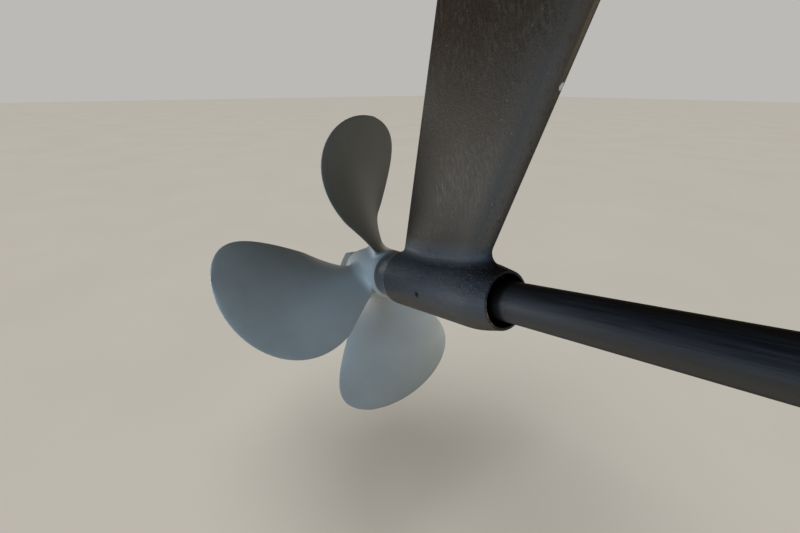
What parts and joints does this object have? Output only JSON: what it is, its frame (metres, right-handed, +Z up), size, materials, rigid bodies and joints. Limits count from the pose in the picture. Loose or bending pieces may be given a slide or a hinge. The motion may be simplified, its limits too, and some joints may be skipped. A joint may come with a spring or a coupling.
{
  "type": "ship propeller",
  "caption": "Ship propeller with broad skewed blades on an inclined shaft, carried by a cast strut with a rubber-lined bearing and a palm that bolts up to a hull.",
  "frame": {"origin": "middle of the flat top face of the strut's palm, which is bolted up against the hull", "axes": "+X towards the bow, +Y to port, +Z up; the shaft slopes down towards the stern at 14.3 degrees"},
  "size_m": [0.7839, 0.557, 0.724],
  "materials": {
    "antifouling": "brushed-on black antifouling paint, satin",
    "grey_coating": "matte grey zinc-rich spray coating",
    "bearing_brass": "dull naval brass",
    "bearing_rubber": "moulded black rubber",
    "stainless": "dull stainless steel"
  },
  "bodies": {
    "strut": {"strut": "antifouling", "bearing_shell": "bearing_brass", "bearing_rubber": "bearing_rubber", "bearing_set_screw_1": "stainless", "bearing_set_screw_2": "stainless"},
    "shaft": {"propeller_shaft": "antifouling", "propeller_key": "stainless", "propeller": "grey_coating", "propeller_nut": "grey_coating", "cotter_pin": "stainless"}
  },
  "joints": [
    {"name": "shaft_turn", "type": "hinge", "parent": "strut", "child": "shaft", "pos_m": [-0.21, 0, -0.4348], "axis": [0.969, 0, 0.247], "continuous": true}
  ]
}
